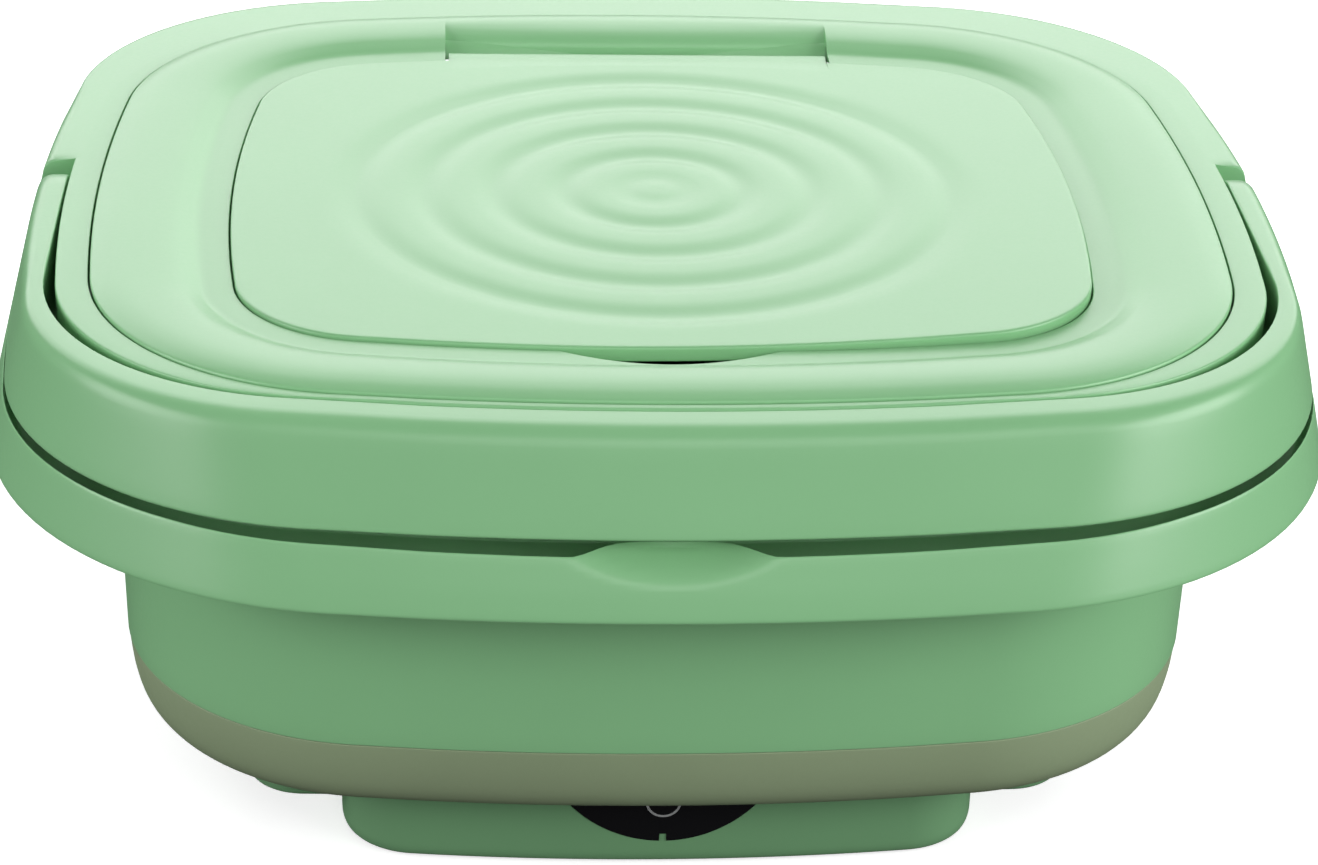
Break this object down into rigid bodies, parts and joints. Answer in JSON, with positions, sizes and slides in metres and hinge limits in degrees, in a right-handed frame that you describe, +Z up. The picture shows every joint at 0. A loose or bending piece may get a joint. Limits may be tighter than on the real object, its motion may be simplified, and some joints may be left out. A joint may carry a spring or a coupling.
{
  "type": "folding mini washer",
  "caption": "Portable folding washer: rounded square collar with bail handle and lift-off lid with a rippled flap door, soft fold band, and a base with pulsator and round touch panel.",
  "frame": {"origin": "centre of the footprint, on the surface the washer stands on", "axes": "+Z up, front (touch panel) towards -Y, +X to the right seen from the front"},
  "size_m": [0.338, 0.309, 0.142],
  "materials": {
    "mint_plastic": "satin moulded, fine even texture",
    "grey_rubber": "soft matt elastomer",
    "black_rubber": "matt",
    "black_gloss": "polished touch panel",
    "black_plastic": "moulded",
    "white_plastic": "smooth moulded",
    "circuit_board": "solder mask",
    "steel": "plain"
  },
  "bodies": {
    "base": {"base_housing": "mint_plastic", "bottom_cover": "mint_plastic", "rubber_feet": "black_rubber", "cover_screws": "steel", "lower_tub": "mint_plastic", "panel_lens": "black_gloss", "touch_board": "circuit_board", "main_board": "circuit_board", "dc_socket": "black_plastic", "motor": "steel", "motor_bracket": "steel", "bracket_screws": "steel", "upper_bearing": "steel", "lower_bearing": "steel", "shaft_seal": "black_rubber", "drive_belt": "black_rubber", "drain_pipe": "white_plastic"},
    "drain_plug": {"drain_cap": "grey_rubber"},
    "motor_rotor": {"motor_pulley": "steel"},
    "pulsator_drive": {"drive_pulley": "black_plastic", "drive_shaft": "steel", "pulsator": "white_plastic", "pulsator_screw": "steel", "pulsator_cap": "mint_plastic"},
    "collar_body": {"collar": "mint_plastic", "lip_underside": "mint_plastic", "upper_ring": "mint_plastic", "fold_band": "grey_rubber"},
    "handle_body": {"handle": "mint_plastic", "handle_pins": "steel"},
    "lid_body": {"lid_ring": "mint_plastic", "door_pin": "steel"},
    "door_body": {"door": "mint_plastic"}
  },
  "joints": [
    {"name": "collar_rise", "type": "slide", "parent": "base", "child": "collar_body", "axis": [0, 0, 1], "range_m": [0, 0.13], "deforming": ["fold_band"]},
    {"name": "handle_swing", "type": "hinge", "parent": "collar_body", "child": "handle_body", "pos_m": [0, 0.005, 0.127], "axis": [-1, 0, 0], "range_deg": [0, 90]},
    {"name": "lid_lift", "type": "slide", "parent": "collar_body", "child": "lid_body", "axis": [0, 0, 1], "range_m": [0, 0.06]},
    {"name": "door_swing", "type": "hinge", "parent": "lid_body", "child": "door_body", "pos_m": [0, 0.098, 0.1346], "axis": [-1, 0, 0], "range_deg": [0, 100]},
    {"name": "pulsator_spin", "type": "hinge", "parent": "base", "child": "pulsator_drive", "pos_m": [0, 0, 0.05], "axis": [0, 0, 1], "continuous": true},
    {"name": "motor_spin", "type": "hinge", "parent": "base", "child": "motor_rotor", "pos_m": [0, 0.06, 0.0135], "axis": [0, 0, 1], "continuous": true},
    {"name": "drain_cap_pull", "type": "slide", "parent": "base", "child": "drain_plug", "axis": [0, 1, 0], "range_m": [0, 0.02]}
  ],
  "couplings": [
    {"joint": "motor_spin", "follows": "pulsator_spin", "ratio": 4}
  ]
}
